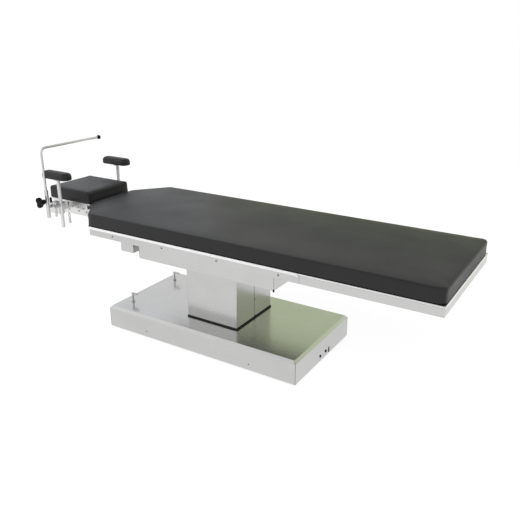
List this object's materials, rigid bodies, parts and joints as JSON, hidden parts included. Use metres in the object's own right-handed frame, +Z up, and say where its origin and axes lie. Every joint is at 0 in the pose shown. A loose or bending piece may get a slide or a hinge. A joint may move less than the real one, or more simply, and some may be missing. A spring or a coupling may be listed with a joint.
{
  "type": "ophthalmic operating table",
  "caption": "Low ophthalmic operating table: steel base and lift column, tilting padded top with tapered head end, sliding head rest, padded wrist rests and a bent screen rod.",
  "frame": {"origin": "on the floor under the centre of the base", "axes": "+X towards the foot end, -Y the pictured side, +Z up"},
  "size_m": [1.902, 0.5805, 0.7905],
  "materials": {
    "mirror_steel": "polished",
    "brushed_steel": "satin",
    "chrome": "bright chrome",
    "zinc_steel": "dull zinc plated",
    "painted_steel": "satin grey paint",
    "black_leatherette": "satin",
    "black_rubber": "matt rubber",
    "black_plastic": "satin black moulding",
    "grey_plastic": "matt grey moulding"
  },
  "bodies": {
    "base": {"base_chassis": "zinc_steel", "base_cover": "mirror_steel", "column_gasket": "black_rubber", "socket_near": "black_plastic", "socket_far": "black_plastic", "column_cover_near": "mirror_steel", "column_cover_far": "mirror_steel", "column_guide": "zinc_steel", "lift_motor": "painted_steel", "control_box": "grey_plastic"},
    "lift": {"inner_column": "brushed_steel", "lift_rod": "chrome", "tilt_yoke": "zinc_steel", "tilt_pin": "chrome"},
    "table": {"side_beam_near": "brushed_steel", "side_beam_far": "brushed_steel", "side_rail_near": "brushed_steel", "side_rail_far": "brushed_steel", "frame_beam_head": "brushed_steel", "frame_beam_foot": "brushed_steel", "tabletop_panel": "brushed_steel", "mattress": "black_leatherette", "cross_beam": "brushed_steel", "mechanism_housing": "brushed_steel", "tilt_cradle": "zinc_steel", "slide_bar_near": "chrome", "slide_bar_far": "chrome"},
    "tilt_motor": {"tilt_motor": "painted_steel"},
    "tilt_rod": {"tilt_rod": "chrome"},
    "head": {"head_carriage": "brushed_steel", "head_hinge_pin": "chrome", "accessory_bar": "brushed_steel", "post_clamp_near": "brushed_steel", "post_clamp_far": "brushed_steel", "rod_holder": "chrome"},
    "head_rest": {"head_plate": "brushed_steel", "head_cushion": "black_leatherette"},
    "clamp_bolt": {"clamp_bolt": "chrome"},
    "clamp_lever_near": {"clamp_lever_near": "black_plastic"},
    "clamp_lever_far": {"clamp_lever_far": "black_plastic"},
    "slide_lock_screw": {"slide_lock_screw": "chrome"},
    "wrist_post_near": {"wrist_post_near": "chrome"},
    "wrist_post_far": {"wrist_post_far": "chrome"},
    "wrist_rest_near": {"wrist_rest_near": "black_leatherette"},
    "wrist_rest_far": {"wrist_rest_far": "black_leatherette"},
    "screen": {"screen_rod": "chrome", "rod_ball": "black_plastic"},
    "star_knob": {"star_knob": "black_plastic"},
    "pedal_near": {"pedal_near": "brushed_steel"},
    "pedal_far": {"pedal_far": "brushed_steel"},
    "castor_fork_head_near": {"castor_fork_head_near": "zinc_steel"},
    "castor_wheel_head_near": {"castor_wheel_head_near": "grey_plastic"},
    "castor_fork_head_far": {"castor_fork_head_far": "zinc_steel"},
    "castor_wheel_head_far": {"castor_wheel_head_far": "grey_plastic"},
    "castor_fork_foot_near": {"castor_fork_foot_near": "zinc_steel"},
    "castor_wheel_foot_near": {"castor_wheel_foot_near": "grey_plastic"},
    "castor_fork_foot_far": {"castor_fork_foot_far": "zinc_steel"},
    "castor_wheel_foot_far": {"castor_wheel_foot_far": "grey_plastic"}
  },
  "joints": [
    {"name": "column_lift", "type": "slide", "parent": "base", "child": "lift", "axis": [0, 0, 1], "range_m": [0, 0.22]},
    {"name": "table_tilt", "type": "hinge", "parent": "lift", "child": "table", "pos_m": [0.018, 0, 0.458], "axis": [0, 1, 0], "range_deg": [-10, 10]},
    {"name": "tilt_motor_swing", "type": "hinge", "parent": "table", "child": "tilt_motor", "pos_m": [0.315, 0, 0.424], "axis": [0, 1, 0], "range_deg": [-2.7, 2.7]},
    {"name": "tilt_rod_stroke", "type": "slide", "parent": "tilt_motor", "child": "tilt_rod", "axis": [-1, 0, 0], "range_m": [-0.0065, 0.0065]},
    {"name": "head_slide", "type": "slide", "parent": "table", "child": "head", "axis": [-1, 0, 0], "range_m": [0, 0.06]},
    {"name": "head_fold", "type": "hinge", "parent": "head", "child": "head_rest", "pos_m": [-0.7, 0, 0.4945], "axis": [0, 1, 0], "range_deg": [0, 15]},
    {"name": "clamp_bolt_turn", "type": "hinge", "parent": "head", "child": "clamp_bolt", "pos_m": [-0.77, -0.2165, 0.53], "axis": [0, 0, 1], "range_deg": [0, 180]},
    {"name": "clamp_lever_near_turn", "type": "hinge", "parent": "head", "child": "clamp_lever_near", "pos_m": [-0.803, -0.203, 0.5164], "axis": [0, 1, 0], "range_deg": [-60, 0]},
    {"name": "clamp_lever_far_turn", "type": "hinge", "parent": "head", "child": "clamp_lever_far", "pos_m": [-0.803, 0.203, 0.5164], "axis": [0, 1, 0], "range_deg": [0, 60]},
    {"name": "slide_lock_turn", "type": "hinge", "parent": "head", "child": "slide_lock_screw", "pos_m": [-0.847, -0.08, 0.43], "axis": [0, 0, 1], "range_deg": [0, 180]},
    {"name": "wrist_post_near_lift", "type": "slide", "parent": "head", "child": "wrist_post_near", "axis": [0, 0, 1], "range_m": [0, 0.08]},
    {"name": "wrist_post_far_lift", "type": "slide", "parent": "head", "child": "wrist_post_far", "axis": [0, 0, 1], "range_m": [0, 0.08]},
    {"name": "wrist_rest_near_swivel", "type": "hinge", "parent": "wrist_post_near", "child": "wrist_rest_near", "pos_m": [-0.77, -0.185, 0.634], "axis": [0, 0, 1], "range_deg": [-50, 50]},
    {"name": "wrist_rest_far_swivel", "type": "hinge", "parent": "wrist_post_far", "child": "wrist_rest_far", "pos_m": [-0.77, 0.185, 0.634], "axis": [0, 0, 1], "range_deg": [-50, 50]},
    {"name": "screen_rod_lift", "type": "slide", "parent": "head", "child": "screen", "axis": [0, 0, 1], "range_m": [-0.02, 0.06]},
    {"name": "star_knob_turn", "type": "hinge", "parent": "head", "child": "star_knob", "pos_m": [-0.77, -0.2655, 0.55], "axis": [0, 1, 0], "range_deg": [0, 180]},
    {"name": "pedal_near_press", "type": "slide", "parent": "base", "child": "pedal_near", "axis": [0, 0, 1], "range_m": [-0.0115, 0]},
    {"name": "pedal_far_press", "type": "slide", "parent": "base", "child": "pedal_far", "axis": [0, 0, 1], "range_m": [-0.0115, 0]},
    {"name": "castor_swivel_head_near", "type": "hinge", "parent": "base", "child": "castor_fork_head_near", "pos_m": [-0.31, -0.16, 0.0969], "axis": [0, 0, 1], "continuous": true},
    {"name": "castor_roll_head_near", "type": "hinge", "parent": "castor_fork_head_near", "child": "castor_wheel_head_near", "pos_m": [-0.332, -0.16, 0.0375], "axis": [0, 1, 0], "continuous": true},
    {"name": "castor_swivel_head_far", "type": "hinge", "parent": "base", "child": "castor_fork_head_far", "pos_m": [-0.31, 0.16, 0.0969], "axis": [0, 0, 1], "continuous": true},
    {"name": "castor_roll_head_far", "type": "hinge", "parent": "castor_fork_head_far", "child": "castor_wheel_head_far", "pos_m": [-0.332, 0.16, 0.0375], "axis": [0, 1, 0], "continuous": true},
    {"name": "castor_swivel_foot_near", "type": "hinge", "parent": "base", "child": "castor_fork_foot_near", "pos_m": [0.39, -0.16, 0.0969], "axis": [0, 0, 1], "continuous": true},
    {"name": "castor_roll_foot_near", "type": "hinge", "parent": "castor_fork_foot_near", "child": "castor_wheel_foot_near", "pos_m": [0.368, -0.16, 0.0375], "axis": [0, 1, 0], "continuous": true},
    {"name": "castor_swivel_foot_far", "type": "hinge", "parent": "base", "child": "castor_fork_foot_far", "pos_m": [0.39, 0.16, 0.0969], "axis": [0, 0, 1], "continuous": true},
    {"name": "castor_roll_foot_far", "type": "hinge", "parent": "castor_fork_foot_far", "child": "castor_wheel_foot_far", "pos_m": [0.368, 0.16, 0.0375], "axis": [0, 1, 0], "continuous": true}
  ],
  "couplings": [
    {"joint": "tilt_motor_swing", "follows": "table_tilt", "ratio": 0.2517},
    {"joint": "tilt_rod_stroke", "follows": "table_tilt", "m_per_rad": -0.03375}
  ]
}
